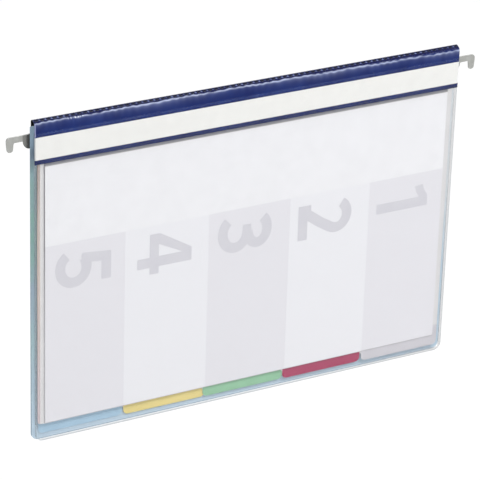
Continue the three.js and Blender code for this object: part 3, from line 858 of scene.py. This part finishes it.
def build_film():
    """The profile carried along X. On the slope each point is pressed in along the profile's normal
    by depth * sqrt(1 - d * d) inside a row of lens shapes, where d is the distance from a lens's
    middle line over its half height, and the half height is a bow over the pitch. The film casts no
    shadow; the shadow on the paper just below the panel is painted on the index sheet instead."""
    profile, on_slope = film_profile()
    along = np.linspace(COVER_LEFT, COVER_RIGHT, OVAL_COUNT * STEPS_PER_OVAL + 1)
    ahead = np.gradient(profile, axis=0)
    normal = np.column_stack([ahead[:, 1], -ahead[:, 0]])
    normal /= np.linalg.norm(normal, axis=1)[:, None]
    phase = ((along - COVER_LEFT) / OVAL_PITCH) % 1
    bow_height = np.maximum(1 - ((2 * phase - 1) / OVAL_LENGTH) ** 2, 0) * OVAL_HALF
    with np.errstate(divide="ignore", invalid="ignore"):
        d = np.abs(on_slope[:, None] - OVAL_MIDDLE) / bow_height[None, :]
        pressed = np.where((on_slope[:, None] >= 0) & (d < 1), (1 - d * d) ** 0.5, 0)
    lift = -OVAL_DEPTH * pressed - pucker(profile, along)
    y = profile[:, 0][:, None] + normal[:, 0][:, None] * lift
    z = profile[:, 1][:, None] + normal[:, 1][:, None] * lift
    x = np.broadcast_to(along[None, :], y.shape)
    points = np.stack([x, y, z], -1).reshape(-1, 3)
    film = new_piece("spine_film", points, grid_faces(*y.shape), "navy_film", True)
    marks = {"pressed": pressed, "fleck": flecks(on_slope, along), "fold_highlight": fold_highlight_strength(profile, along)}
    for name, values in marks.items():
        mark = film.data.attributes.new(name, "FLOAT", "POINT")
        mark.data.foreach_set("value", values.astype(np.float32).ravel())
    film.data.materials.append(looks["film_edge"])
    film.data.materials.append(looks["film_inside"])
    wall = film.modifiers.new("thickness", "SOLIDIFY")
    wall.thickness = FILM
    wall.offset = -1
    wall.use_even_offset = True
    wall.material_offset = FILM_INSIDE_SLOT
    wall.material_offset_rim = FILM_EDGE_SLOT
    film.visible_shadow = False
    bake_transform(film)
    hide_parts("spine_wrap", "front_panel")


# ---- Sheets

DIVIDER_CORNER = 2 * MM
TAB_CORNER = 3.5 * MM
TAB_INNER = 3 * MM  # hollow corner beside a tab
SHEET_LOOKS = ["index_paper", "grey_card", "red_card", "green_card", "yellow_card", "blue_card"]


def sheet_corners(number, shift):
    """Corners of a sheet, each (x, z, radius). A divider has its tab in line with its column."""
    if number == 0:
        left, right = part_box("index_sheet")[0].x + shift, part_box("index_sheet")[1].x + shift
        lower = [(left, SHEET_BOTTOM, 0), (right, SHEET_BOTTOM, 0)]
        return [*lower, (right, SHEET_TOP, 0), (left, SHEET_TOP, 0)]
    left, right = DIVIDER_LEFT + shift, DIVIDER_RIGHT + shift
    tab_left = right - number * TAB_PITCH
    tab_right = tab_left + TAB_PITCH
    corners = [(left, SHEET_TOP, 0)]
    if number < DIVIDER_COUNT:
        corners += [(left, SHEET_BOTTOM, DIVIDER_CORNER), (tab_left, SHEET_BOTTOM, TAB_INNER)]
    corners += [(tab_left, TAB_BOTTOM, TAB_CORNER), (tab_right, TAB_BOTTOM, TAB_CORNER)]
    if number > 1:
        corners += [(tab_right, SHEET_BOTTOM, TAB_INNER), (right, SHEET_BOTTOM, DIVIDER_CORNER)]
    corners.append((right, SHEET_TOP, 0))
    return corners


def build_sheet(number):
    """One sheet with its two punched holes, cut into triangles along lines across its fold, between
    the punched margin that stays on the prongs and the leaf that turns."""
    name = f"divider_{number}" if number else "index_sheet"
    shift = SHEET_SHIFT[number]
    low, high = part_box(name)
    fold = high.z
    outline = rounded_outline(sheet_corners(number, shift))
    holes = [circle(side * PUNCH_X + shift, PUNCH_Z, PUNCH_RADIUS) for side in (-1, 1)]
    bend = 1.2 * MM
    folds = fold + np.linspace(-bend, bend, 7)
    look = SHEET_LOOKS[number]
    piece = flat_piece(f"{name}_sheet", [outline], holes, folds, low.y, high.y, look)
    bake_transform(piece)
    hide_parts(name, f"{name}_margin")


# ---- Printed digits, turned a quarter so that their tops point to the right

DIGIT_HEIGHT = 40
DIGIT_STROKE = 7.2
PRINT_FRONT, PRINT_BACK = 0.03 * MM, 0.005 * MM  # in front of the paper
# How far each digit starts and ends from the cover's left edge, and how far its upper side lies
# below the crease, in millimetres
DIGIT_PLACES = {
    "5": (15.2, 55.0, 93.6),
    "4": (73.8, 113.4, 93.2),
    "3": (132.6, 173.0, 94.0),
    "2": (193.0, 234.0, 94.4),
    "1": (253.6, 293.6, 95.6),
}


def stroke(path):
    """The outline of a stroke of even width along a path: its points moved half the width to
    either side of the path's direction."""
    path = np.array(path, float)
    ahead = np.gradient(path, axis=0)
    ahead /= np.linalg.norm(ahead, axis=1)[:, None]
    beside = np.column_stack([-ahead[:, 1], ahead[:, 0]]) * DIGIT_STROKE / 2
    return np.concatenate([path + beside, (path - beside)[::-1]])


def bow(middle, half_width, half_height, start, end):
    """Points of an ellipse from one angle to another, in degrees."""
    angle = np.radians(np.linspace(start, end, 28))
    return np.column_stack([
        middle[0] + half_width * np.cos(angle),
        middle[1] + half_height * np.sin(angle),
    ])


def bar(left, right, low, high):
    """The outline of an upright rectangle."""
    return np.array([(left, low), (right, low), (right, high), (left, high)], float)


# Each digit is joined from a few outlines, drawn upright in millimetres from its lower left corner
DIGIT_SHAPES = {
    "1": [
        bar(9.3, 16.6, 0, 40),
        np.array([(0.3, 36), (1.0, 29.7), (6, 31.2), (10, 33.6), (10, 40), (8.9, 40), (5, 37.2)]),
    ],
    "2": [
        stroke(np.concatenate([bow((11.2, 28.2), 9.4, 8.2, 152, -28), [(14.6, 16.6), (6.0, 5.2)]])),
        bar(0.4, 25.6, 0, 7),
        bar(0.4, 8, 0, 9.4),
    ],
    "3": [
        stroke(bow((10.5, 29.3), 9.6, 7.1, 148, -90)),
        stroke(bow((10.3, 12.6), 10.7, 9.0, 90, -146)),
        bar(5.6, 11, 18.2, 24.6),
    ],
    "4": [
        bar(16.4, 23.8, 0, 40),
        bar(0, 28.8, 9, 15.8),
        np.array([(14.2, 40), (20, 40), (17.2, 34.6), (7.6, 15.4), (7.6, 12), (0, 12), (0, 16.4)]),
    ],
    "5": [
        bar(4.6, 24.2, 33, 40),
        np.array([(4.6, 40), (11.4, 40), (10.0, 22.5), (5.4, 18.4), (2.6, 19.4)]),
        stroke(bow((12.2, 13.0), 10.4, 9.4, 128, -150)),
    ],
}


def build_digit(digit):
    """A digit's outlines joined and filled as a thin layer of print on the index sheet, its top
    turned to the right."""
    start, end, drop = DIGIT_PLACES[digit]
    outlines = []
    for drawn in DIGIT_SHAPES[digit]:
        x = COVER_LEFT + (start + drawn[:, 1] / DIGIT_HEIGHT * (end - start)) * MM
        z = CREASE_Z - (drop + drawn[:, 0]) * MM
        outlines.append(np.column_stack([x, z]))
    paper_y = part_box("index_sheet")[0].y
    front, back = paper_y - PRINT_FRONT, paper_y - PRINT_BACK
    piece = flat_piece(f"printed_digit_{digit}", outlines, [], [], front, back, "digit_print")
    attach(piece, "index_leaf")


# ---- Clear films and the weld that shows

def build_clear_sheet(node, radius, look):
    """A clear film with round lower corners. It is too clear to cast a shadow."""
    low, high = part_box(node)
    lower = [(low.x, low.z, radius), (high.x, low.z, radius)]
    outline = rounded_outline([*lower, (high.x, high.z, 0), (low.x, high.z, 0)])
    piece = flat_piece(f"{node}_film", [outline], [], [], low.y, high.y, look)
    piece.visible_shadow = False
    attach(piece, "front")
    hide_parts(node)


WELD_INSET = 2 * MM  # from the cover's sides
WELD_DROP = 0.9 * MM  # from the pocket's upper edge to the weld's middle
WELD_HALF = 0.25 * MM
WELD_RISE = 0.12 * MM
WELD_STEPS = 700
WELD_WAVES = [(1, 5.3, 0, 0, 1), (1, 2.1, 2, 0, 1)]


def build_weld():
    """The pocket's upper weld: a low half round ridge along X, whose height switches softly between
    nothing and all with the sign of a sum of sines."""
    low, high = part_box("title_pocket")
    along = np.linspace(COVER_LEFT + WELD_INSET, COVER_RIGHT - WELD_INSET, WELD_STEPS)
    raised = 0.5 + 0.5 * np.tanh(2.5 * (waves(along / MM, WELD_WAVES) + 0.6))
    angle = np.linspace(0, math.pi, 7)
    z = high.z - WELD_DROP + WELD_HALF * np.cos(angle)[:, None] * np.ones_like(along)
    y = low.y - 0.01 * MM - WELD_RISE * np.sin(angle)[:, None] * raised[None, :]
    x = np.broadcast_to(along, z.shape)
    points = np.stack([x, y, z], -1).reshape(-1, 3)
    weld = new_piece("pocket_weld", points, grid_faces(*z.shape), "weld_film", True)
    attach(weld, "front")


# ---- CAD pieces that keep their shape and get eased edges

MERGE_DISTANCE = 0.001 * MM
SHARP_ANGLE = math.radians(40)  # edges sharper than this are eased
HOOK_EDGE = 0.15 * MM
SLIDER_EDGE = 0.1 * MM
PRONG_EDGE = 0.05 * MM
BAR_EDGE = 0.06 * MM
COVER_CORNER = 5.5 * MM


def dress(node, look, width):
    """A copy of a CAD node with its loose triangles merged and its edges eased."""
    mesh = nodes[node].data.copy()
    piece = bpy.data.objects.new(f"{node}_finished", mesh)
    bpy.context.scene.collection.objects.link(piece)
    mesh.materials.clear()
    mesh.materials.append(looks[look])
    merge = piece.modifiers.new("merge", "WELD")
    merge.merge_threshold = MERGE_DISTANCE
    ease = piece.modifiers.new("ease", "BEVEL")
    ease.width = width
    ease.segments = 2
    ease.limit_method = "ANGLE"
    ease.angle_limit = SHARP_ANGLE
    ease.use_clamp_overlap = True
    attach(piece, nodes[node]["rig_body"])
    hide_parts(node)


def repaint(node, look):
    """Gives a CAD node that keeps its own mesh a better material."""
    nodes[node].data.materials.clear()
    nodes[node].data.materials.append(looks[look])


build_film()
for sheet_number in range(DIVIDER_COUNT + 1):
    build_sheet(sheet_number)
for digit_name in DIGIT_PLACES:
    build_digit(digit_name)

for side_name in ("left", "right"):
    dress(f"hook_{side_name}", "hook_steel", HOOK_EDGE)
    dress(f"stop_rivet_{side_name}", "hook_steel", HOOK_EDGE)
    dress(f"lock_slider_{side_name}", "dark_plastic", SLIDER_EDGE)
dress("prong_strip", "fastener_steel", PRONG_EDGE)
dress("compressor_bar", "fastener_steel", BAR_EDGE)
for part in ("front_strip", "rear_strip", "upper_rail", "lower_rail"):
    repaint(f"channel_{part}", "dark_plastic")
repaint("back_cover", "back_film")
repaint("title_strip", "title_paper")
build_clear_sheet("front_cover", COVER_CORNER, "cover_film")
build_clear_sheet("title_pocket", 0, "pocket_film")
build_weld()


# ---- Studio

FLOOR_DROP = 0.95
FLOOR_HALF = 12
FLOOR_WHITE = 1.1
FLOOR_WHITENED = 0.75  # share of the white where the floor is seen directly
BACKGROUND = 1.0
ROOM_LIGHT = 0.38
LAMP_AIM = Vector((0, 0, -0.1))


def seen_directly(tree):
    """Camera, mirror and see-through rays, which are shown a plain white."""
    rays = tree.nodes.new("ShaderNodeLightPath")
    seen = rays.outputs["Is Camera Ray"]
    for kind in ("Is Glossy Ray", "Is Transmission Ray"):
        either = tree.nodes.new("ShaderNodeMath")
        either.operation = "MAXIMUM"
        tree.links.new(seen, either.inputs[0])
        tree.links.new(rays.outputs[kind], either.inputs[1])
        seen = either.outputs[0]
    return seen


def mix_shaders(tree, share, first, second):
    """A shader that goes from the first node's to the second's with the share."""
    mixed = tree.nodes.new("ShaderNodeMixShader")
    tree.links.new(share, mixed.inputs[0])
    tree.links.new(first.outputs[0], mixed.inputs[1])
    tree.links.new(second.outputs[0], mixed.inputs[2])
    return mixed.outputs[0]


def build_floor():
    """A wide pale floor below the hanging folder. It is white where it is seen directly, and keeps
    a quarter of its own shading there, so the folder's shadow shows."""
    half = FLOOR_HALF
    z = -FLOOR_DROP
    corners = np.array([(-half, -half, z), (half, -half, z), (half, half, z), (-half, half, z)])
    looks["floor"] = plain("floor", (245, 245, 245), 0.8)
    floor = new_piece("floor", corners, [(0, 1, 2, 3)], "floor")
    tree = looks["floor"].node_tree
    white = tree.nodes.new("ShaderNodeEmission")
    white.inputs["Strength"].default_value = FLOOR_WHITE
    share = tree.nodes.new("ShaderNodeMath")
    share.operation = "MULTIPLY"
    share.inputs[1].default_value = FLOOR_WHITENED
    tree.links.new(seen_directly(tree), share.inputs[0])
    mixed = mix_shaders(tree, share.outputs[0], tree.nodes["Principled BSDF"], white)
    tree.links.new(mixed, tree.nodes["Material Output"].inputs["Surface"])


def build_light():
    """A soft world, white where it is seen directly, and wide soft lamps."""
    world = bpy.data.worlds.new("studio")
    bpy.context.scene.world = world
    world.use_nodes = True
    tree = world.node_tree
    room = tree.nodes["Background"]
    room.inputs["Color"].default_value = (1, 1, 1, 1)
    room.inputs["Strength"].default_value = ROOM_LIGHT
    white = tree.nodes.new("ShaderNodeBackground")
    white.inputs["Strength"].default_value = BACKGROUND
    mixed = mix_shaders(tree, seen_directly(tree), room, white)
    tree.links.new(mixed, tree.nodes["World Output"].inputs["Surface"])
    add_lamp("key_lamp", (1.54, -1.5, 2.76), 1.0, 101)
    add_lamp("fill_lamp", (-1.9, -2.4, 0.7), 1.8, 10)
    add_lamp("back_lamp", (0.6, 2.6, 1.6), 1.8, 24)


def add_lamp(name, place, size, power):
    """A square lamp of a size in metres and a power in watts, turned to the folder's middle."""
    data = bpy.data.lights.new(name, "AREA")
    data.size = size
    data.energy = power
    lamp = bpy.data.objects.new(name, data)
    bpy.context.scene.collection.objects.link(lamp)
    lamp.location = place
    aim = LAMP_AIM - Vector(place)
    lamp.rotation_euler = aim.to_track_quat("-Z", "Y").to_euler()


place_camera()
build_floor()
build_light()
bpy.context.scene.view_settings.view_transform = "Standard"
